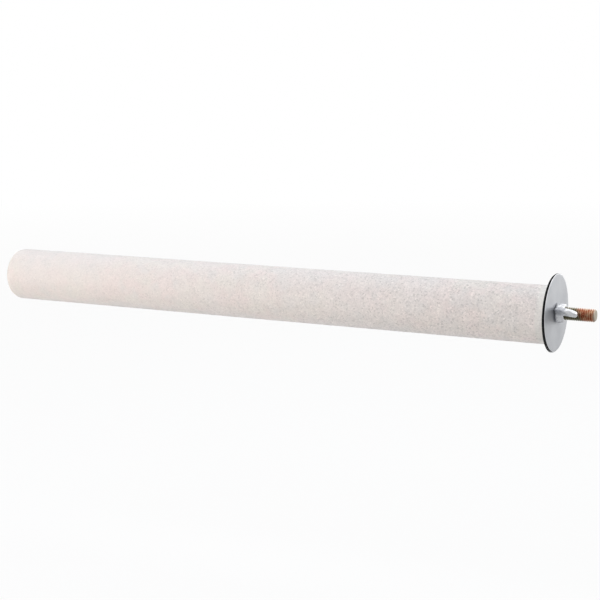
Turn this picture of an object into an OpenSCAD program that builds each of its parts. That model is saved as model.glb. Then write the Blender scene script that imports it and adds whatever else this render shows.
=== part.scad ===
// Bird perch: a gritty round perch with a bolt in one end, which clamps a cage
// wall between two wide washers with a wing nut.
// +X is the bolt's axis, pointing out of the cage. +Z is up. x = 0 is the face of
// the inner washer that meets the cage wall, and z = 0 is the bolt's axis.

/* [Perch] */
// Length of the perch with its coat
perch_length = 305; // [120:5:600]
// Diameter of the wooden core
core_d = 25.4; // [20:0.2:40]
// Thickness of the gritty coat
coat_wall = 1; // [0.6:0.1:2.5]
// Radius of the far end's edge
end_round = 3.4; // [2.8:0.1:8]
// Bevel of the coat at the near end
near_bevel = 0.4; // [0.1:0.1:0.6]
// Height of the bolt above the middle of the perch
bolt_lift = 1.3; // [0:0.1:4]

/* [Hanger bolt] */
// Diameter of the machine thread over its crests
stud_d = 6; // [4:0.5:8]
// Distance that the stud stands out past the cage side of the inner washer
stud_reach = 19; // [18:0.2:40]
// Bevel of the stud's tip
tip_bevel = 0.6; // [0.2:0.1:1.2]
// Length of the machine thread that goes into the wood
thread_inset = 3; // [1:0.5:6]
// Length of the plain shank
shank_length = 4; // [2:0.5:10]
// Step from the machine thread's crests down to the plain shank, all round
shank_step = 0.35; // [0.1:0.05:0.6]
// Length of the wood thread with its point
wood_thread_length = 28; // [12:1:60]
// Step from the machine thread's crests down to the wood thread's crests, all round
wood_step = 0.1; // [0.05:0.05:0.5]
// Depth of the wood thread
wood_thread_depth = 0.8; // [0.4:0.1:1.2]
// Distance from one crest of the wood thread to the next
wood_pitch = 2.5; // [1.5:0.1:4]
// Length of the gimlet point
point_length = 5; // [2:0.5:9]

/* [Washers] */
// Outer diameter of each washer
washer_d = 36; // [32:0.5:60]
// Thickness of each washer
washer_wall = 0.7; // [0.6:0.1:2.5]
// Radius of the washers' outer edges
washer_round = 0.25; // [0.05:0.05:0.25]
// Space between the stud and a washer's hole, all round
washer_play = 0.5; // [0.5:0.05:0.8]
// Drop of the inner washer, which hangs on the stud
washer_drop = 0.4; // [0:0.05:0.45]

/* [Wing nut] */
// Wall of the nut's boss at its base, outside the bore
boss_base_wall = 1.6; // [1.5:0.1:4]
// Wall of the nut's boss at its outer face
boss_face_wall = 1.2; // [1.1:0.1:3]
// Height of the nut's boss
boss_height = 4.3; // [4:0.1:10]
// Bevel round the boss's base
base_bevel = 0.9; // [0.2:0.1:1.2]
// Bevel round the boss's outer face
face_bevel = 0.4; // [0.1:0.1:0.8]
// Distance between the tips of the two wings
wing_span = 27; // [24:0.5:44]
// Height of the wings above the nut's base
wing_height = 12.8; // [12:0.2:20]
// Radius of each wing's round lobe
lobe_r = 3.8; // [3:0.1:5.5]
// Thickness of a wing at its lobe
wing_wall = 2.7; // [1.6:0.1:4]
// Thickness of a wing where it meets the boss
wing_root_wall = 3.6; // [2:0.1:5]
// Radius of each wing's root, where it leaves the boss
wing_root_r = 2.2; // [2:0.1:3]
// Height of the wings' roots above the nut's base
wing_foot = 0.5; // [0.1:0.1:1]
// Angle of each wing's blade to the nut's axis
wing_skew = 11; // [0:1:25]
// Turn of the tight nut about its axis, from level
nut_turn = -19; // [-90:1:90]
// Space between the stud and the nut's bore, all round
thread_play = 0.05; // [0.02:0.01:0.1]

/* [Hidden] */
round_fn = 96;
blend_fn = 32;
overrun = 1;

// Lengths and radii that follow from the sizes above
coat_r = core_d / 2 + coat_wall;
core_length = perch_length - coat_wall;
core_round = end_round - coat_wall;
near_end_x = -washer_wall;
stud_r = stud_d / 2;
shank_r = stud_r - shank_step;
wood_crest_r = stud_r - wood_step;
wood_root_r = wood_crest_r - wood_thread_depth;
hole_r = stud_r + washer_play;
bore_r = stud_r + thread_play;
boss_base_r = bore_r + boss_base_wall;
boss_face_r = bore_r + boss_face_wall;
wing_root_x = wing_foot + wing_root_r;
shank_x = near_end_x - thread_inset;
wood_thread_x = shank_x - shank_length;
bolt_end_x = wood_thread_x - wood_thread_length;
ridge_count = floor((wood_thread_length - point_length) / wood_pitch);

// A cylinder along +X from x = from_x to x = to_x
module rod(from_x, to_x, r1, r2) {
  translate([from_x, 0, 0])
    rotate([0, 90, 0])
      cylinder(h = to_x - from_x, r1 = r1, r2 = r2, $fn = round_fn);
}

// A solid turned about the X axis. Its profile's x is the radius and its y the place along +X.
module turned() {
  rotate([0, 90, 0])
    rotate_extrude($fn = round_fn)
      children();
}

// The profile of a bar that ends at y = 0 and has a rounded edge at its far end
module bar_profile(bar_r, bar_length, edge_r) {
  translate([0, edge_r - bar_length])
    square([bar_r, bar_length - edge_r]);
  translate([0, -bar_length])
    square([bar_r - edge_r, bar_length]);
  intersection() {
    translate([bar_r - edge_r, edge_r - bar_length])
      circle(r = edge_r, $fn = round_fn);
    translate([0, -bar_length])
      square([bar_r, edge_r]);
  }
}

// The wooden dowel, with the stepped hole for the bolt
module perch_core() {
  color("burlywood")
    difference() {
      translate([near_end_x, 0, -bolt_lift])
        turned() bar_profile(core_d / 2, core_length, core_round);
      rod(shank_x, near_end_x + overrun, stud_r, stud_r);
      rod(wood_thread_x, shank_x + overrun, shank_r, shank_r);
      rod(bolt_end_x + point_length, wood_thread_x + overrun, wood_root_r, wood_root_r);
      rod(bolt_end_x, bolt_end_x + point_length, 0, wood_root_r);
    }
}

// The bonded coat, closed over the far end and open at the near end
module grit_coat() {
  color("linen")
    translate([near_end_x, 0, -bolt_lift])
      turned()
        difference() {
          bar_profile(coat_r, perch_length, end_round);
          bar_profile(core_d / 2, core_length, core_round);
          polygon([
            [coat_r - near_bevel, 0],
            [coat_r + overrun, -near_bevel - overrun],
            [coat_r + overrun, overrun],
            [coat_r - near_bevel, overrun]
          ]);
        }
}

// The bolt: gimlet point and wood thread, plain shank, machine thread with a bevelled tip
module hanger_bolt() {
  color("darkkhaki") {
    rod(shank_x, stud_reach - tip_bevel, stud_r, stud_r);
    rod(stud_reach - tip_bevel, stud_reach, stud_r, stud_r - tip_bevel);
    rod(wood_thread_x, shank_x, shank_r, shank_r);
    rod(bolt_end_x + point_length, wood_thread_x, wood_root_r, wood_root_r);
    rod(bolt_end_x, bolt_end_x + point_length, 0, wood_root_r);
    for (ridge = [1 : ridge_count])
      wood_ridge(wood_thread_x - ridge * wood_pitch);
  }
}

// One crest of the wood thread: steep towards the bolt's tip end, sloped towards its point
module wood_ridge(crest_x) {
  rod(crest_x, crest_x + wood_pitch / 4, wood_crest_r, wood_root_r);
  rod(crest_x - wood_pitch / 2, crest_x, wood_root_r, wood_crest_r);
}

// A flat washer whose back lies at x = back_x
module wide_washer(back_x) {
  translate([back_x, 0, 0])
    turned() {
      translate([hole_r, 0])
        square([washer_d / 2 - washer_round - hole_r, washer_wall]);
      translate([hole_r, washer_round])
        square([washer_d / 2 - hole_r, washer_wall - 2 * washer_round]);
      for (edge_y = [washer_round, washer_wall - washer_round])
        translate([washer_d / 2 - washer_round, edge_y])
          circle(r = washer_round, $fn = round_fn);
    }
}

module inner_washer() {
  color("silver")
    translate([0, 0, -washer_drop])
      wide_washer(-washer_wall);
}

module outer_washer() {
  color("gainsboro") wide_washer(0);
}

// A round pad with a full round rim, lying in the plane of a wing
module wing_pad(radial, height, pad_r, wall) {
  translate([height, radial, 0])
    rotate_extrude($fn = blend_fn) {
      translate([0, -wall / 2])
        square([pad_r - wall / 2, wall]);
      intersection() {
        translate([pad_r - wall / 2, 0])
          circle(r = wall / 2, $fn = blend_fn);
        translate([0, -wall / 2])
          square([pad_r, wall]);
      }
    }
}

// One wing, growing out of the boss along +Y
module wing() {
  translate([wing_root_x, 0, 0])
    rotate([0, -wing_skew, 0])
      hull() {
        wing_pad(wing_span / 2 - lobe_r, wing_height - lobe_r - wing_root_x, lobe_r, wing_wall);
        wing_pad(bore_r + wing_root_r, 0, wing_root_r, wing_root_wall);
      }
}

// The wing nut, tight against the outer washer
module wing_nut() {
  color("lightgray")
    translate([washer_wall, 0, 0])
      rotate([nut_turn, 0, 0])
        difference() {
          union() {
            rod(0, base_bevel, boss_base_r - base_bevel, boss_base_r);
            rod(base_bevel, boss_height - face_bevel, boss_base_r, boss_face_r);
            rod(boss_height - face_bevel, boss_height, boss_face_r, boss_face_r - face_bevel);
            wing();
            rotate([180, 0, 0]) wing();
          }
          rod(-overrun, boss_height + wing_height, bore_r, bore_r);
        }
}

perch_core();
grit_coat();
hanger_bolt();
inner_washer();
outer_washer();
wing_nut();
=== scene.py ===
# Bird perch with a gritty coat, clamped to a cage wall by a stud, two washers and a wing nut
import math

import bpy
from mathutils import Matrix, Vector


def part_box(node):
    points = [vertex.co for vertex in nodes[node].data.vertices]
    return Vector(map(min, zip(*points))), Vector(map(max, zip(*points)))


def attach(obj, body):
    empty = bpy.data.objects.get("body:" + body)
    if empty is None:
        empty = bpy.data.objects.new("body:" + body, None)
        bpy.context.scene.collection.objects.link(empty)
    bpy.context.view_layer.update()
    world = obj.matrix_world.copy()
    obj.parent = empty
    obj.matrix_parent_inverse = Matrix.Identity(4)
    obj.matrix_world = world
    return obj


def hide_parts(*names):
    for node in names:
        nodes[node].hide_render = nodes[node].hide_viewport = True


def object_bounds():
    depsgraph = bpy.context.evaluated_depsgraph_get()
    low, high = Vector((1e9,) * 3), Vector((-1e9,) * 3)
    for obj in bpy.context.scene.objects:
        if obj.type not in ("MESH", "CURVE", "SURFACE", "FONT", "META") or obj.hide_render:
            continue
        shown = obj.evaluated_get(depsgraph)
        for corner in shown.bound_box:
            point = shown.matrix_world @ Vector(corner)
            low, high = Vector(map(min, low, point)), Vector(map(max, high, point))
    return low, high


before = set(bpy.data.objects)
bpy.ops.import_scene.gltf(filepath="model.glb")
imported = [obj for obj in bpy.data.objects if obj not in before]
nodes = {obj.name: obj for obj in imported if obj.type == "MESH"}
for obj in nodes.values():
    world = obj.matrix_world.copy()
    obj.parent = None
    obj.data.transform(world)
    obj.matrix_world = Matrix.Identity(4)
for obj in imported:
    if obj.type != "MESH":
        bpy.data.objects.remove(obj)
cadBox = [list(corner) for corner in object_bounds()]

mm = 0.001
fullTurn = 2 * math.pi
samePlace = 0.001 * mm      # points closer than this count as one
mergeGap = 0.002 * mm
plainWhite = (1, 1, 1)


# small helpers

def deselectAll():
    bpy.ops.object.select_all(action="DESELECT")


def makeActive(piece):
    deselectAll()
    piece.select_set(True)
    bpy.context.view_layer.objects.active = piece


def editAll(piece):
    makeActive(piece)
    bpy.ops.object.mode_set(mode="EDIT")
    bpy.ops.mesh.select_all(action="SELECT")


def editEdges(piece, wanted):
    # edit mode, with only the edges whose two end points pass the test
    editAll(piece)
    bpy.ops.mesh.select_mode(type="EDGE")
    bpy.ops.mesh.select_all(action="DESELECT")
    bpy.ops.object.mode_set(mode="OBJECT")
    for line in piece.data.edges:
        line.select = wanted(*[piece.data.vertices[i].co for i in line.vertices])
    bpy.ops.object.mode_set(mode="EDIT")


def leaveEdit():
    bpy.ops.mesh.select_mode(type="VERT")
    bpy.ops.object.mode_set(mode="OBJECT")


def applyModifiers(piece):
    makeActive(piece)
    for modifier in list(piece.modifiers):
        bpy.ops.object.modifier_apply(modifier=modifier.name)


def applyPlace(piece):
    makeActive(piece)
    bpy.ops.object.transform_apply(location=True, rotation=True, scale=True)


def placePiece(piece, offset=(0, 0, 0), turn=(0, 0, 0)):
    piece.location = offset
    piece.rotation_euler = turn
    applyPlace(piece)


def cleanMesh(piece):
    editAll(piece)
    bpy.ops.mesh.remove_doubles(threshold=mergeGap)
    bpy.ops.mesh.dissolve_degenerate(threshold=mergeGap)
    bpy.ops.mesh.select_all(action="SELECT")
    bpy.ops.mesh.normals_make_consistent(inside=False)
    leaveEdit()


def drawOutline(name, points):
    # a line of edges, extruded vertex by vertex: points are (x, radius) on the XZ plane
    deselectAll()
    bpy.ops.mesh.primitive_plane_add(size=mm, location=(0, 0, 0))
    piece = bpy.context.active_object
    piece.name = name
    editAll(piece)
    bpy.ops.mesh.merge(type="COLLAPSE")
    lastX, lastR = points[0]
    bpy.ops.transform.translate(value=(lastX, 0, lastR))
    for x, r in points[1:]:
        step = {"value": (x - lastX, 0, r - lastR)}
        bpy.ops.mesh.extrude_vertices_move(TRANSFORM_OT_translate=step)
        lastX, lastR = x, r
    leaveEdit()
    return piece


def spinOutline(piece, steps):
    editAll(piece)
    bpy.ops.mesh.spin(steps=steps, angle=fullTurn, center=(0, 0, 0), axis=(1, 0, 0))
    leaveEdit()
    cleanMesh(piece)


def turnSolid(name, points, steps):
    piece = drawOutline(name, points)
    spinOutline(piece, steps)
    return piece


def arcPoints(centreX, centreR, radius, fromDegrees, toDegrees, count):
    # degrees go from +X towards a growing radius
    turns = [math.radians(fromDegrees + (toDegrees - fromDegrees) * i / count)
             for i in range(count + 1)]
    return [(centreX + radius * math.cos(t), centreR + radius * math.sin(t)) for t in turns]


def cutWith(piece, tool, operation):
    modifier = piece.modifiers.new("cut", "BOOLEAN")
    modifier.operation = operation
    modifier.solver = "EXACT"
    modifier.object = tool
    applyModifiers(piece)
    bpy.data.objects.remove(tool)


def shadeSmooth(piece, degrees):
    makeActive(piece)
    bpy.ops.object.shade_smooth_by_angle(angle=math.radians(degrees))


def finishPiece(piece, body, node, material):
    piece.data.materials.clear()
    piece.data.materials.append(material)
    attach(piece, body)
    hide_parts(node)
    print(f"{piece.name}: {len(piece.data.polygons)} faces")


# camera first: at the photograph's height and angle

camera = {
    "place": (196.6 * mm, -635.4 * mm, 109.3 * mm),
    "tilt": 81.02,      # degrees up from looking straight down
    "turn": 27.31,      # degrees about +Z
    "lens": 87.0,       # millimetres
    "sensor": 36,
}


def addCamera():
    data = bpy.data.cameras.new("camera")
    data.lens = camera["lens"]
    data.sensor_width = camera["sensor"]
    eye = bpy.data.objects.new("camera", data)
    eye.location = camera["place"]
    eye.rotation_euler = (math.radians(camera["tilt"]), 0, math.radians(camera["turn"]))
    bpy.context.scene.collection.objects.link(eye)
    bpy.context.scene.camera = eye


addCamera()
print("camera placed")


# materials: a few node helpers, then one function for each finish

def setInputs(tree, node, values):
    # a value is a number, a vector, a colour, or the output of another node
    for name, value in values.items():
        socket = node.inputs[name]
        if isinstance(value, bpy.types.NodeSocket):
            tree.links.new(value, socket)
        elif socket.type == "RGBA":
            socket.default_value = (*value, 1)
        else:
            socket.default_value = value


def addNode(tree, kind, values, **settings):
    node = tree.nodes.new(kind)
    for name, value in settings.items():
        setattr(node, name, value)
    setInputs(tree, node, values)
    return node


def newMaterial(name):
    material = bpy.data.materials.new(name)
    material.use_nodes = True
    tree = material.node_tree
    return material, tree, tree.nodes["Principled BSDF"]


def objectPoint(tree, scale=(1, 1, 1), turn=(0, 0, 0)):
    place = addNode(tree, "ShaderNodeTexCoord", {}).outputs["Object"]
    values = {"Vector": place, "Scale": scale, "Rotation": turn}
    return addNode(tree, "ShaderNodeMapping", values).outputs["Vector"]


def axesOf(tree, vector):
    return addNode(tree, "ShaderNodeSeparateXYZ", {"Vector": vector}).outputs


def noiseOf(tree, point, size, detail=2, output="Fac"):
    # size is the width of a blotch in metres
    values = {"Vector": point, "Scale": 1 / size, "Detail": detail}
    return addNode(tree, "ShaderNodeTexNoise", values).outputs[output]


def cellsOf(tree, point, size):
    # three random tones for each cell, and the distance from its middle
    cells = addNode(tree, "ShaderNodeTexVoronoi", {"Vector": point, "Scale": 1 / size})
    tones = addNode(tree, "ShaderNodeSeparateColor", {"Color": cells.outputs["Color"]})
    return tones.outputs, cells.outputs["Distance"]


def rampOf(tree, value, stops):
    # stops are (position, colour)
    ramp = addNode(tree, "ShaderNodeValToRGB", {"Fac": value})
    elements = ramp.color_ramp.elements
    while len(elements) < len(stops):
        elements.new(0.5)
    for element, (position, colour) in zip(elements, stops):
        element.position = position
        element.color = (*colour, 1)
    return ramp.outputs["Color"]


def mixColours(tree, share, first, second, blend="MIX"):
    # the sockets are the factor and the two colours
    values = {0: share, 6: first, 7: second}
    mix = addNode(tree, "ShaderNodeMix", values, data_type="RGBA", blend_type=blend)
    return mix.outputs[2]


def mixShaders(tree, share, first, second):
    return addNode(tree, "ShaderNodeMixShader", {0: share, 1: first, 2: second}).outputs[0]


def mathOf(tree, operation, *values):
    node = addNode(tree, "ShaderNodeMath", dict(enumerate(values)), operation=operation)
    return node.outputs[0]


def vectorMath(tree, operation, values):
    return addNode(tree, "ShaderNodeVectorMath", values, operation=operation).outputs


def remap(tree, value, fromLow, fromHigh, toLow, toHigh):
    values = {"Value": value, "From Min": fromLow, "From Max": fromHigh,
              "To Min": toLow, "To Max": toHigh}
    return addNode(tree, "ShaderNodeMapRange", values).outputs["Result"]


def bumpOf(tree, height, depth, strength, below=None):
    values = {"Height": height, "Distance": depth, "Strength": strength}
    if below is not None:
        values["Normal"] = below
    return addNode(tree, "ShaderNodeBump", values).outputs["Normal"]


def noiseBump(tree, point, size, detail, depth, strength, below=None):
    return bumpOf(tree, noiseOf(tree, point, size, detail), depth, strength, below)


# a name that ends in Range gives remap's numbers: from low, from high, to low, to high
grit = {
    "pale": (0.815, 0.765, 0.735),
    "pink": (0.833, 0.747, 0.713),
    "cream": (0.813, 0.771, 0.721),
    "greyed": (0.785, 0.75, 0.72),
    "nearEnd": (0.80, 0.785, 0.745),
    "patchSize": 9.9 * mm,
    "widePatchSize": 29.7 * mm,
    "patchDetail": 3,
    "secondTurn": (0.7, 1.1, 0.4),      # radians between the first pattern and the second
    "pinkRange": (0.38, 0.62, 0, 1),
    "paleRange": (0.4, 0.6, 0.2, 0.8),
    "greyRange": (0.50, 0.66, 0, 0.8),
    "nearEndRange": (-5.9 * mm, -4.7 * mm, 0, 0.75),
    "farRange": (-36 * mm, -270 * mm, 0, 0.7),
    "nearEndEven": 0.6,     # how much the grains are evened out in the near end's band
    "mottleSize": 4.0 * mm,
    "mottleRange": (0.3, 0.7, 0.96, 1.035),
    "raggedSize": 0.4 * mm,
    "ragged": 0.20 * mm,    # how far the grains' outlines stray
    "grainSize": 0.70 * mm,
    "fineGrainSize": 0.45 * mm,
    # share of the grains, and how light they are
    "grainTones": [(0.0, 0.79), (0.12, 0.89), (0.28, 0.98), (0.80, 1.01), (0.94, 1.06),
                   (1.0, 1.15)],
    "fineTones": [(0.0, 0.90), (0.25, 0.98), (0.8, 1.01), (1.0, 1.075)],
    "toneScale": 1.2,       # the ramps hold the tones divided by this, which keeps them below 1
    "grainDepth": 0.09 * mm,
    "fineGrainDepth": 0.055 * mm,
    "relief": 0.6,
    "reliefLoss": 0.55,     # less relief where the grains are evened out
    "glintRange": (0.88, 1, 0.9, 0.4),      # a few grains are glossy
    "specular": 0.4,
}


def toneRamp(tree, value, tones):
    stops = [(position, (tone / grit["toneScale"],) * 3) for position, tone in tones]
    return rampOf(tree, value, stops)


def strayPoint(tree, point):
    wander = noiseOf(tree, point, grit["raggedSize"], output="Color")
    values = {0: wander, 1: (grit["ragged"],) * 3, 2: point}
    return vectorMath(tree, "MULTIPLY_ADD", values)["Vector"]


def gritMaterial():
    material, tree, shader = newMaterial("bondedGrit")
    point = objectPoint(tree)
    shifted = objectPoint(tree, turn=grit["secondTurn"])
    along = axesOf(tree, point)["X"]
    # soft patches of four tones, then a cleaner band beside the washer
    patches = noiseOf(tree, point, grit["patchSize"], grit["patchDetail"])
    widePatches = noiseOf(tree, shifted, grit["widePatchSize"])
    otherPatches = noiseOf(tree, shifted, grit["patchSize"], grit["patchDetail"])
    nearEnd = remap(tree, along, *grit["nearEndRange"])
    pinkShare = remap(tree, patches, *grit["pinkRange"])
    colour = mixColours(tree, pinkShare, grit["cream"], grit["pink"])
    colour = mixColours(tree, remap(tree, widePatches, *grit["paleRange"]), colour, grit["pale"])
    colour = mixColours(tree, remap(tree, otherPatches, *grit["greyRange"]), colour, grit["greyed"])
    colour = mixColours(tree, nearEnd, colour, grit["nearEnd"])
    # grains: one tone for each cell, coarse over fine, evened out towards both ends
    farEnd = remap(tree, along, *grit["farRange"])
    even = mathOf(tree, "MAXIMUM", farEnd, mathOf(tree, "MULTIPLY", nearEnd, grit["nearEndEven"]))
    grains, grainDistance = cellsOf(tree, strayPoint(tree, point), grit["grainSize"])
    fineGrains, fineDistance = cellsOf(tree, strayPoint(tree, shifted), grit["fineGrainSize"])
    plainTone = (1 / grit["toneScale"],) * 3
    for cells, tones in ((grains, "grainTones"), (fineGrains, "fineTones")):
        tone = mixColours(tree, even, toneRamp(tree, cells["Red"], grit[tones]), plainTone)
        colour = mixColours(tree, 1, colour, tone, "MULTIPLY")
    # light and dark mottling, which fades towards the far end
    blotches = noiseOf(tree, point, grit["mottleSize"], grit["patchDetail"])
    mottle = remap(tree, blotches, *grit["mottleRange"])
    mottle = mathOf(tree, "MULTIPLY_ADD", mathOf(tree, "SUBTRACT", 1, mottle), farEnd, mottle)
    light = mathOf(tree, "MULTIPLY", mottle, grit["toneScale"] ** 2)
    relief = mathOf(tree, "MULTIPLY_ADD", even, -grit["reliefLoss"], grit["relief"])
    coarse = bumpOf(tree, grainDistance, grit["grainDepth"], relief)
    setInputs(tree, shader, {
        "Base Color": vectorMath(tree, "SCALE", {0: colour, "Scale": light})[0],
        "Normal": bumpOf(tree, fineDistance, grit["fineGrainDepth"], relief, coarse),
        "Roughness": remap(tree, grains["Blue"], *grit["glintRange"]),
        "Specular IOR Level": grit["specular"],
    })
    return material


wood = {
    "early": (0.62, 0.43, 0.25),
    "late": (0.42, 0.26, 0.13),
    "lateFrom": 0.6,
    "stretch": (0.06, 1, 1),        # the figure runs along the dowel
    "wanderSize": 9 * mm,
    "wanderDetail": 4,
    "ringScale": 0.16 / (2.4 * mm),     # rings about 4.7 mm apart
    "ringDistortion": 2.5,
    "ringDetail": 2,
    "poreStretch": (0.08, 1, 1),
    "pores": (0.4 * mm, 2, 0.05 * mm, 0.5),     # size, detail, depth, strength
    "roughness": 0.62,
}


def woodMaterial():
    material, tree, shader = newMaterial("turnedHardwood")
    point = objectPoint(tree, scale=wood["stretch"])
    wander = noiseOf(tree, point, wood["wanderSize"], wood["wanderDetail"])
    values = {"Vector": point, "Scale": wood["ringScale"],
              "Distortion": wood["ringDistortion"], "Detail": wood["ringDetail"]}
    rings = addNode(tree, "ShaderNodeTexWave", values, wave_type="RINGS", rings_direction="X")
    figure = mathOf(tree, "MULTIPLY", rings.outputs["Fac"], wander)
    porePoint = objectPoint(tree, scale=wood["poreStretch"])
    setInputs(tree, shader, {
        "Base Color": rampOf(tree, figure, [(0, wood["early"]), (wood["lateFrom"], wood["late"])]),
        "Normal": noiseBump(tree, porePoint, *wood["pores"]),
        "Roughness": wood["roughness"],
    })
    return material


zinc = {
    "face": (0.52, 0.53, 0.548),
    "faceDull": (0.455, 0.465, 0.487),
    "burnishedHighlight": (0.86, 0.87, 0.89),        # painted highlight where the tumbled edge rolls over, with a little real burnish
    # near black on the rim: painted shade and dark reflection, over the sheared steel's own duller
    # tone
    "shearedAndShadedRim": (0.010, 0.010, 0.011),
    "blotchSize": 8 * mm,
    "blotchDetail": 3,
    "dullRange": (0.35, 0.7, 0, 0.6),
    "roughRange": (0.3, 0.7, 0.52, 0.58),
    # from 1 on the flat faces to 0 on the rim
    "burnishedHighlightRange": (0.992, 0.975, 0, 1),
    "shearedAndShadedRange": (0.92, 0.84, 0, 1),
    "shearedRough": 0.1,
    "specular": 0.08,
    "rollStretch": (1, 1, 0.05),
    "rollMarks": (0.45 * mm, 1, 0.0015 * mm, 0.5),      # size, detail, depth, strength
}


def washerMaterial():
    material, tree, shader = newMaterial("platedWasher")
    cloud = noiseOf(tree, objectPoint(tree), zinc["blotchSize"], zinc["blotchDetail"])
    plate = mixColours(tree, remap(tree, cloud, *zinc["dullRange"]), zinc["face"], zinc["faceDull"])
    # the sheared rim and the hole's wall are the faces that look straight away from the axis
    normal = addNode(tree, "ShaderNodeTexCoord", {}).outputs["Normal"]
    flatness = mathOf(tree, "ABSOLUTE", axesOf(tree, normal)["X"])
    # a lighter band where the edge starts to roll: a painted highlight, with a little real burnish
    burnishedHighlight = remap(tree, flatness, *zinc["burnishedHighlightRange"])
    plate = mixColours(tree, burnishedHighlight, plate, zinc["burnishedHighlight"])
    # the rim's near-black colour is painted shade and dark reflection, over the sheared steel's own
    # duller tone
    shearedAndShaded = remap(tree, flatness, *zinc["shearedAndShadedRange"])
    roughness = remap(tree, cloud, *zinc["roughRange"])
    rollPoint = objectPoint(tree, scale=zinc["rollStretch"])
    setInputs(tree, shader, {
        "Base Color": mixColours(tree, shearedAndShaded, plate, zinc["shearedAndShadedRim"]),
        "Metallic": mathOf(tree, "SUBTRACT", 1, shearedAndShaded),
        "Roughness": mathOf(tree, "MULTIPLY_ADD", shearedAndShaded, zinc["shearedRough"], roughness),
        "Specular IOR Level": zinc["specular"],
        "Normal": noiseBump(tree, rollPoint, *zinc["rollMarks"]),
    })
    return material


nutPlate = {
    "bright": (0.88, 0.89, 0.91),
    "dull": (0.75, 0.76, 0.79),
    "metallic": 0.78,
    "cloudSize": 2.2 * mm,
    "cloudDetail": 3,
    "roughRange": (0.3, 0.7, 0.17, 0.25),
    # size, detail, depth, strength
    "castSurface": (1.5 * mm, 1, 0.32 * mm, 0.7),
    "skin": (0.5 * mm, 3, 0.02 * mm, 0.5),
}


def nutMaterial():
    material, tree, shader = newMaterial("brightNutPlate")
    point = objectPoint(tree)
    cloud = noiseOf(tree, point, nutPlate["cloudSize"], nutPlate["cloudDetail"])
    uneven = noiseBump(tree, point, *nutPlate["castSurface"])
    setInputs(tree, shader, {
        "Base Color": mixColours(tree, cloud, nutPlate["bright"], nutPlate["dull"]),
        "Metallic": nutPlate["metallic"],
        "Roughness": remap(tree, cloud, *nutPlate["roughRange"]),
        "Normal": noiseBump(tree, point, *nutPlate["skin"], uneven),
    })
    return material


passivate = {
    "olive": (0.20, 0.182, 0.115),
    "red": (0.44, 0.155, 0.08),
    "gold": (0.62, 0.44, 0.30),
    "worn": (0.56, 0.49, 0.41),
    "tipFace": (0.36, 0.335, 0.275),
    "blotchSize": 1.8 * mm,
    "blotchDetail": 3,
    "goldRange": (0.42, 0.66, 0, 1),
    # places along the stud
    "redRange": (10.8 * mm, 13.2 * mm, 0, 1),
    "wornRange": (18.1 * mm, 18.5 * mm, 0, 0.85),
    "tipFaceRange": (18.92 * mm, 18.98 * mm, 0, 0.8),
    "slant": 0.5,           # the olive reaches further along the underside
    "roughRange": (0.3, 0.7, 0.26, 0.38),
    "wornRough": 0.3,
    "coat": 0.15,
    "coatRough": 0.3,
    "skin": (0.3 * mm, 2, 0.012 * mm, 0.5),     # size, detail, depth, strength
}


def boltMaterial():
    material, tree, shader = newMaterial("yellowPassivate")
    point = objectPoint(tree)
    axes = axesOf(tree, point)
    blotches = noiseOf(tree, point, passivate["blotchSize"], passivate["blotchDetail"])
    goldShare = remap(tree, blotches, *passivate["goldRange"])
    warm = mixColours(tree, goldShare, passivate["red"], passivate["gold"])
    slanted = mathOf(tree, "MULTIPLY_ADD", axes["Z"], passivate["slant"], axes["X"])
    redShare = remap(tree, slanted, *passivate["redRange"])
    colour = mixColours(tree, redShare, passivate["olive"], warm)
    worn = remap(tree, axes["X"], *passivate["wornRange"])
    colour = mixColours(tree, worn, colour, passivate["worn"])
    tipFace = remap(tree, axes["X"], *passivate["tipFaceRange"])
    roughness = remap(tree, blotches, *passivate["roughRange"])
    setInputs(tree, shader, {
        "Base Color": mixColours(tree, tipFace, colour, passivate["tipFace"]),
        "Metallic": 1,
        "Roughness": mathOf(tree, "MULTIPLY_ADD", worn, passivate["wornRough"], roughness),
        "Coat Weight": passivate["coat"],
        "Coat Roughness": passivate["coatRough"],
        "Normal": noiseBump(tree, point, *passivate["skin"]),
    })
    return material


washerFinish = washerMaterial()
boltFinish = boltMaterial()
print("materials made")


# gritty coat: a closed shell turned from its outline, then roughened

coatLow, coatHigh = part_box("grit_coat")
coreLow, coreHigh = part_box("perch_core")

coat = {
    "radius": (coatHigh.z - coatLow.z) / 2,
    "axisZ": (coatHigh.z + coatLow.z) / 2,
    "wall": coreLow.x - coatLow.x,
    "endRound": 3.4 * mm,
    "nearBevel": 0.4 * mm,
    "roundSteps": 9,
    "innerRoundSteps": 4,
    "capRings": 16,
    "steps": 160,           # round the perch
    "lengthCuts": (22, 23),     # the long edge is cut twice
    # name, kind, size and depth
    "relief": [("lumps", "CLOUDS", 1.6 * mm, 0.09 * mm),
               ("grains", "VORONOI", 1.2 * mm, 0.07 * mm)],
    "smoothBelow": 60,
}


def coatOutline():
    farX, nearX = coatLow.x, coatHigh.x
    outer, edge, wall = coat["radius"], coat["endRound"], coat["wall"]
    inner, innerEdge = outer - wall, edge - wall
    bevel, rings = coat["nearBevel"], coat["capRings"]
    points = [(nearX, inner), (nearX, outer - bevel), (nearX - bevel, outer)]
    points += arcPoints(farX + edge, outer - edge, edge, 90, 180, coat["roundSteps"])
    points += [(farX, (outer - edge) * (1 - i / rings)) for i in range(1, rings + 1)]
    points += [(farX + wall, 0), (farX + wall, inner - innerEdge)]
    points += arcPoints(farX + edge, inner - innerEdge, innerEdge, 180, 90,
                        coat["innerRoundSteps"])[1:]
    return points + [(nearX, inner)]


def onSkin(place):
    # the outer side of the wall, and the far end
    radius = math.hypot(place.y, place.z - coat["axisZ"])
    middle = coat["wall"] / 2
    return radius > coat["radius"] - middle or place.x < coatLow.x + middle


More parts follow.
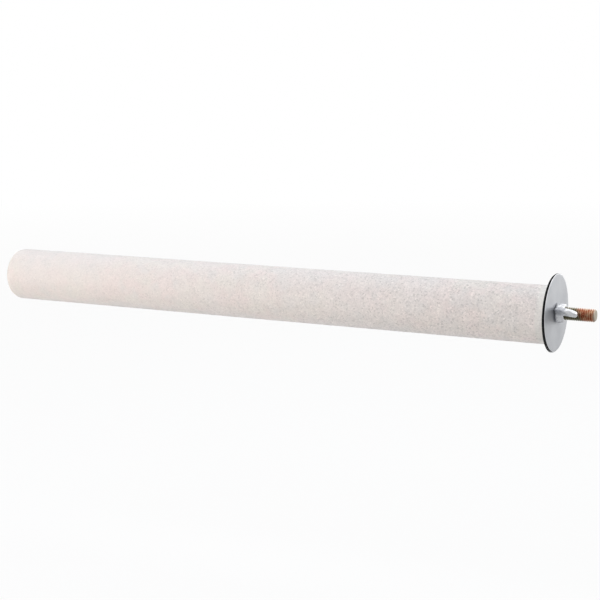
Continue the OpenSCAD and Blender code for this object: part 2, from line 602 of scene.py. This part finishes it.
def addGritCoat():
    piece = drawOutline("gritCoat", coatOutline())
    # the long outer edge is cut into short ones, so that the grit has something to push
    outer = coat["radius"]
    for cuts in coat["lengthCuts"]:
        editEdges(piece, lambda a, b: max(abs(a.z - outer), abs(b.z - outer)) < samePlace)
        bpy.ops.mesh.subdivide(number_cuts=cuts)
        leaveEdit()
    spinOutline(piece, coat["steps"])
    placePiece(piece, (0, 0, coat["axisZ"]))
    # only the skin takes the relief, and it is pushed inwards
    skin = piece.vertex_groups.new(name="skin")
    skin.add([v.index for v in piece.data.vertices if onSkin(v.co)], 1, "REPLACE")
    for name, kind, size, depth in coat["relief"]:
        texture = bpy.data.textures.new(name, kind)
        texture.noise_scale = size
        push = piece.modifiers.new(name, "DISPLACE")
        push.texture = texture
        push.texture_coords = "LOCAL"
        push.direction = "NORMAL"
        push.strength = depth
        push.mid_level = 1
        push.vertex_group = "skin"
    applyModifiers(piece)
    shadeSmooth(piece, coat["smoothBelow"])
    finishPiece(piece, "perch", "grit_coat", gritMaterial())


addGritCoat()


# wooden core: the solid itself, with a wood finish

core = nodes["perch_core"]
core.data.materials.clear()
core.data.materials.append(woodMaterial())
print("core finished")


# hanger bolt: rolled machine thread, plain shank, wood thread with a gimlet point

boltLow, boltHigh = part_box("hanger_bolt")

bolt = {
    "crest": (boltHigh.z - boltLow.z) / 2,
    "pitch": 1.0 * mm,
    "threadDepth": 0.58 * mm,
    # shares of a pitch
    "threadFlanks": (0.11, 0.43, 0.57, 0.89),
    "threadStart": 0.29,
    "steps": 48,
    "tipBevel": 0.6 * mm,
    "threadEnd": coreHigh.x - 3.0 * mm,     # where the machine thread stops in the wood
    "shankLength": 4.0 * mm,
    "shankRadius": 2.65 * mm,
    "shankPlug": 1.0 * mm,      # how far the shank reaches into the wood thread
    "shankPlugShare": 0.85,     # of the wood thread's root
    "shankLap": 0.3 * mm,       # how far it reaches into the machine thread
    "shankFlare": 0.05 * mm,
    "woodPitch": 2.5 * mm,
    "woodFlanks": (0.22, 0.68, 0.72, 1),
    "woodCrest": 2.9 * mm,
    "woodRoot": 2.1 * mm,
    "woodSteps": 32,
    "woodRunOut": 0.4 * mm,
    "spareTurns": 3,        # turned beyond a thread's two ends, and cut off
    "pointLength": 6.0 * mm,
    "clearOfCrests": 0.05 * mm,     # the trimming shapes' play
    "insideShank": 0.04 * mm,       # the machine thread starts this far inside the shank's skin
    "trimSteps": {"sheath": 96, "taper": 64, "shank": 60},
    "smoothBelow": 32,
}


def threadOutline(root, crest, rise, top, fall, end):
    # one pitch of (share of the pitch, radius)
    points = [(0, root), (rise, root), (top, crest), (fall, crest), (end, root)]
    return points if end == 1 else points + [(1, root)]


def threadedRod(name, fromX, toX, pitch, outline, steps):
    # the rod is closed flat at both ends
    piece = drawOutline(name, [(share * pitch, radius) for share, radius in outline])
    screw = piece.modifiers.new("thread", "SCREW")
    screw.axis = "X"
    screw.angle = fullTurn
    screw.screw_offset = pitch
    screw.iterations = math.ceil((toX - fromX) / pitch) + bolt["spareTurns"]
    screw.steps = steps
    screw.render_steps = steps
    screw.use_merge_vertices = True
    screw.merge_threshold = samePlace
    applyModifiers(piece)
    placePiece(piece, (fromX - bolt["spareTurns"] / 2 * pitch, 0, 0))
    cleanMesh(piece)
    for cutX, side in ((fromX, -1), (toX, 1)):
        editAll(piece)
        bpy.ops.mesh.bisect(plane_co=(cutX, 0, 0), plane_no=(side, 0, 0), use_fill=True,
                            clear_outer=True, threshold=samePlace / 10)
        leaveEdit()
    cleanMesh(piece)
    return piece


def machineThread(name, fromX, toX, extra=0.0):
    crest = bolt["crest"] + extra
    outline = threadOutline(crest - bolt["threadDepth"], crest, *bolt["threadFlanks"])
    # every thread starts at the same share of a pitch, so the nut's is in step with the bolt's
    pitch, start = bolt["pitch"], bolt["threadStart"]
    first = (math.floor(fromX / pitch) - start) * pitch
    last = (math.ceil(toX / pitch) + start) * pitch
    return threadedRod(name, first, last, pitch, outline, bolt["steps"])


def trimWith(piece, name, points, operation):
    cutWith(piece, turnSolid(name, points, bolt["trimSteps"][name]), operation)


def addHangerBolt():
    tipX, pointX, endX = boltHigh.x, boltLow.x, bolt["threadEnd"]
    crest, shank = bolt["crest"], bolt["shankRadius"]
    clearCrest = crest + bolt["clearOfCrests"]
    stud = machineThread("hangerBolt", endX - bolt["pitch"], tipX + bolt["pitch"])
    trimWith(stud, "sheath", [
        (endX, 0), (endX, shank - bolt["insideShank"]), (endX + (crest - shank), clearCrest),
        (tipX - bolt["tipBevel"] - bolt["clearOfCrests"], clearCrest),
        (tipX, crest - bolt["tipBevel"]), (tipX, 0),
    ], "INTERSECT")
    # the wood thread, tapered to its point
    woodX, pitch, root = endX - bolt["shankLength"], bolt["woodPitch"], bolt["woodRoot"]
    clearCrest = bolt["woodCrest"] + bolt["clearOfCrests"]
    outline = threadOutline(root, bolt["woodCrest"], *bolt["woodFlanks"])
    screwEnd = threadedRod("screwEnd", pointX - pitch, woodX + pitch, pitch, outline,
                           bolt["woodSteps"])
    trimWith(screwEnd, "taper", [
        (pointX, 0), (pointX + bolt["pointLength"], clearCrest),
        (woodX - bolt["woodRunOut"], clearCrest), (woodX, root), (woodX, 0),
    ], "INTERSECT")
    # the shank joins the two
    plugX, lapX = woodX - bolt["shankPlug"], endX + bolt["shankLap"]
    trimWith(screwEnd, "shank", [
        (plugX, 0), (plugX, root * bolt["shankPlugShare"]),
        (woodX + bolt["shankFlare"], shank), (lapX, shank), (lapX, 0),
    ], "UNION")
    cutWith(stud, screwEnd, "UNION")
    cleanMesh(stud)
    shadeSmooth(stud, bolt["smoothBelow"])
    finishPiece(stud, "perch", "hanger_bolt", boltFinish)


addHangerBolt()


# washers: blanked from sheet, so the punch side is rolled over and the far side has a crisp edge

washer = {
    "rollDepth": 0.16 * mm,
    "rollWidth": 0.8 * mm,
    "rollSteps": 8,
    "burr": 0.05 * mm,
    "play": 0.5 * mm,       # between the stud and the hole, all round
    "steps": 256,
    "smoothBelow": 30,
}


def addWasher(name, node, body, punched):
    # punched is 1 where the rolled edge faces +X, and -1 where it faces the perch
    low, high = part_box(node)
    rim = (high.z - low.z) / 2
    hole = bolt["crest"] + washer["play"]
    thick = high.x - low.x
    depth, width, burr = washer["rollDepth"], washer["rollWidth"], washer["burr"]
    turns = [i * math.pi / 2 / washer["rollSteps"] for i in range(washer["rollSteps"] + 1)]
    curl = [(thick - depth + depth * math.sin(t), width * math.cos(t)) for t in turns]
    points = [(burr, hole), (0, hole + burr), (0, rim - burr), (burr, rim)]
    points += [(x, rim - width + out) for x, out in curl]
    points += [(x, hole + width - out) for x, out in reversed(curl)]
    points += [(burr, hole)]
    if punched < 0:
        points = [(thick - x, radius) for x, radius in points]
    piece = turnSolid(name, points, washer["steps"])
    placePiece(piece, (low.x, 0, (low.z + high.z) / 2))
    shadeSmooth(piece, washer["smoothBelow"])
    finishPiece(piece, body, node, washerFinish)


addWasher("innerWasher", "inner_washer", "perch", -1)
addWasher("outerWasher", "outer_washer", "outer_washer", 1)


# wing nut: boss and wings fused into one casting, then tapped with the stud's own thread

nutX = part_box("wing_nut")[0].x

nut = {
    "turn": -19,            # degrees about the stud
    "skew": 11,             # degrees between a wing and the nut's axis
    "baseRadius": 4.65 * mm,
    "faceRadius": 4.25 * mm,
    "height": 4.3 * mm,
    "baseBevel": 0.9 * mm,
    "faceBevel": 0.4 * mm,
    "steps": 96,
    "span": 27 * mm,
    "wingHeight": 12.8 * mm,
    "lobeRadius": 3.8 * mm,
    "lobeWall": 2.7 * mm,
    "rootRadius": 2.2 * mm,
    "rootWall": 3.6 * mm,
    "rootFoot": 0.5 * mm,
    "padVertices": 48,
    "padRound": 0.49,       # share of the wall
    "padRoundSteps": 8,
    "voxel": 0.15 * mm,
    "soften": 0.5,
    "softenTimes": 8,
    "slab": 20 * mm,        # a trimming disc larger than the nut
    "slabSteps": 32,
    "threadPlay": 0.05 * mm,
    "tapBelow": 2 * mm,
    "tapAbove": 3 * mm,
    # countersink at both ends of the bore
    "sinkOutside": 0.2 * mm,
    "sinkInside": 0.45 * mm,
    "sinkWider": 0.35 * mm,
    "sinkNarrower": 0.3 * mm,
    "sinkSteps": 64,
    "smoothBelow": 40,
}


def addPad(height, radial, radius, wall):
    # a round pad in the plane of the wing, with a full round rim
    deselectAll()
    bpy.ops.mesh.primitive_cylinder_add(vertices=nut["padVertices"], radius=radius, depth=wall,
                                        location=(height, radial, 0))
    pad = bpy.context.active_object
    editEdges(pad, lambda a, b: abs(a.z - b.z) < samePlace)
    bpy.ops.mesh.bevel(offset=wall * nut["padRound"], segments=nut["padRoundSteps"],
                       affect="EDGES", clamp_overlap=True)
    leaveEdit()
    return pad


def addWing(bore):
    rootX = nut["rootFoot"] + nut["rootRadius"]
    lobeRadius = nut["lobeRadius"]
    lobe = addPad(nut["wingHeight"] - lobeRadius - rootX, nut["span"] / 2 - lobeRadius,
                  lobeRadius, nut["lobeWall"])
    root = addPad(0, bore + nut["rootRadius"], nut["rootRadius"], nut["rootWall"])
    makeActive(lobe)
    root.select_set(True)
    bpy.ops.object.join()
    editAll(lobe)
    bpy.ops.mesh.convex_hull()
    leaveEdit()
    applyPlace(lobe)
    placePiece(lobe, turn=(0, math.radians(-nut["skew"]), 0))
    placePiece(lobe, (rootX, 0, 0))
    return lobe


def addWingNut():
    height, base, face = nut["height"], nut["baseRadius"], nut["faceRadius"]
    piece = turnSolid("wingNut", [
        (0, 0), (0, base - nut["baseBevel"]), (nut["baseBevel"], base),
        (height - nut["faceBevel"], face), (height, face - nut["faceBevel"]), (height, 0),
    ], nut["steps"])
    bore = bolt["crest"] + nut["threadPlay"]
    wings = [addWing(bore), addWing(bore)]
    placePiece(wings[1], turn=(math.pi, 0, 0))
    makeActive(piece)
    for wing in wings:
        wing.select_set(True)
    bpy.ops.object.join()
    fuse = piece.modifiers.new("fuse", "REMESH")
    fuse.mode = "VOXEL"
    fuse.voxel_size = nut["voxel"]
    fuse.use_smooth_shade = True
    soften = piece.modifiers.new("soften", "SMOOTH")
    soften.factor = nut["soften"]
    soften.iterations = nut["softenTimes"]
    applyModifiers(piece)
    # nothing of the softened skin stays behind the nut's base
    slab = nut["slab"]
    trim = turnSolid("slab", [(0, 0), (0, slab), (slab, slab), (slab, 0)], nut["slabSteps"])
    cutWith(piece, trim, "INTERSECT")
    placePiece(piece, (nutX, 0, 0), (math.radians(nut["turn"]), 0, 0))
    tap = machineThread("tap", -nut["tapBelow"], height + nut["tapAbove"], nut["threadPlay"])
    cutWith(piece, tap, "DIFFERENCE")
    for faceX, inward in ((nutX, 1), (nutX + height, -1)):
        outsideX = faceX - inward * nut["sinkOutside"]
        insideX = faceX + inward * nut["sinkInside"]
        sink = turnSolid("sink", [
            (outsideX, 0), (outsideX, bore + nut["sinkWider"]),
            (insideX, bore - nut["sinkNarrower"]), (insideX, 0),
        ], nut["sinkSteps"])
        cutWith(piece, sink, "DIFFERENCE")
    shadeSmooth(piece, nut["smoothBelow"])
    finishPiece(piece, "wing_nut", "wing_nut", nutMaterial())


addWingNut()


# floor, background and lights

studio = {
    "floorDrop": 126 * mm,
    "floorSize": 5.4,
    "floorColour": (0.82, 0.82, 0.82),
    "floorRoughness": 0.9,
    "floorSpecular": 0.1,
    "floorFadeRange": (0.45, 2.25, 0.92, 1),    # the camera sees plain white further off
    # how bright metal sees the floor, by its place from front to back
    "floorTones": [(-0.18, 0.52), (0.22, 0.60), (1.0, 0.93)],
    "darkSide": (0.0, -1.0, 0.0),
    # what metal sees, from straight behind the object to straight in front of it
    "wallTones": [(0.0, plainWhite), (0.64, plainWhite), (0.84, (0.62, 0.62, 0.625)),
                  (0.94, (0.42, 0.42, 0.425))],
    "wallLight": 1.35,      # how bright metal sees the pale walls
    "ambient": 0.20,
}

softLights = [
    # name, place, width, height, watts, colour: all aim at the middle of the object
    ("highBackLight", (-0.153, 0.45, 0.81), 0.9, 0.72, 5.2, (0.895, 0.962, 1.0)),
    ("highFrontLight", (-0.324, -0.54, 0.81), 0.72, 0.72, 5.7, (0.905, 0.92, 1.0)),
    ("frontLight", (-0.70, -0.684, -0.018), 0.45, 0.225, 2.75, (1.0, 0.90, 0.785)),
    ("sideLight", (0.70, 0.738, 0.117), 0.315, 0.315, 0.95, plainWhite),
]
glossyLight = "sideLight"       # metal shows the walls in place of the others


def addFloor():
    deselectAll()
    bpy.ops.mesh.primitive_plane_add(size=studio["floorSize"],
                                     location=(0, 0, cadBox[0][2] - studio["floorDrop"]))
    floor = bpy.context.active_object
    floor.name = "floor"
    material, tree, shader = newMaterial("paleFloor")
    setInputs(tree, shader, {
        "Base Color": studio["floorColour"],
        "Roughness": studio["floorRoughness"],
        "Specular IOR Level": studio["floorSpecular"],
    })
    point = objectPoint(tree)
    path = addNode(tree, "ShaderNodeLightPath", {}).outputs
    # the camera sees the floor as near white, with the object's shadow, and plain white far off
    away = vectorMath(tree, "LENGTH", {0: point})["Value"]
    whiteShare = remap(tree, away, *studio["floorFadeRange"])
    glow = addNode(tree, "ShaderNodeEmission", {}).outputs[0]
    cameraShare = mathOf(tree, "MULTIPLY", whiteShare, path["Is Camera Ray"])
    seen = mixShaders(tree, cameraShare, shader.outputs[0], glow)
    # metal sees a tone that goes with the walls
    (frontY, front), (underY, under), (backY, back) = studio["floorTones"]
    placeY = axesOf(tree, point)["Y"]
    frontTone = remap(tree, placeY, frontY, underY, front, under)
    backTone = remap(tree, placeY, underY, backY, 0, back - under)
    tone = mathOf(tree, "ADD", frontTone, backTone)
    sheen = addNode(tree, "ShaderNodeEmission", {"Strength": tone}).outputs[0]
    shiny = mathOf(tree, "MAXIMUM", path["Is Glossy Ray"], path["Is Transmission Ray"])
    surface = mixShaders(tree, shiny, seen, sheen)
    setInputs(tree, tree.nodes["Material Output"], {"Surface": surface})
    floor.data.materials.append(material)


def addWorld():
    world = bpy.data.worlds.new("studio")
    bpy.context.scene.world = world
    world.use_nodes = True
    tree = world.node_tree
    room = tree.nodes["Background"]
    setInputs(tree, room, {"Color": plainWhite, "Strength": studio["ambient"]})
    backdrop = addNode(tree, "ShaderNodeBackground", {"Color": plainWhite, "Strength": 1})
    # metal sees pale walls, with the dark end of the room on the -Y side
    direction = addNode(tree, "ShaderNodeTexCoord", {}).outputs["Generated"]
    facing = vectorMath(tree, "DOT_PRODUCT", {0: direction, 1: studio["darkSide"]})["Value"]
    wallColour = rampOf(tree, remap(tree, facing, -1, 1, 0, 1), studio["wallTones"])
    walls = addNode(tree, "ShaderNodeBackground",
                    {"Color": wallColour, "Strength": studio["wallLight"]})
    path = addNode(tree, "ShaderNodeLightPath", {}).outputs
    lit = mixShaders(tree, path["Is Glossy Ray"], room.outputs[0], walls.outputs[0])
    surface = mixShaders(tree, path["Is Camera Ray"], lit, backdrop.outputs[0])
    setInputs(tree, tree.nodes["World Output"], {"Surface": surface})


def addLights():
    middle = (Vector(cadBox[0]) + Vector(cadBox[1])) / 2
    for name, place, width, height, watts, colour in softLights:
        data = bpy.data.lights.new(name, "AREA")
        data.shape = "RECTANGLE"
        data.size = width
        data.size_y = height
        data.energy = watts
        data.color = colour
        lamp = bpy.data.objects.new(name, data)
        lamp.location = place
        lamp.rotation_euler = (Vector(place) - middle).to_track_quat("Z", "Y").to_euler()
        lamp.visible_glossy = name == glossyLight
        bpy.context.scene.collection.objects.link(lamp)


addFloor()
addWorld()
addLights()
bpy.context.scene.view_settings.view_transform = "Standard"
print("studio lit")
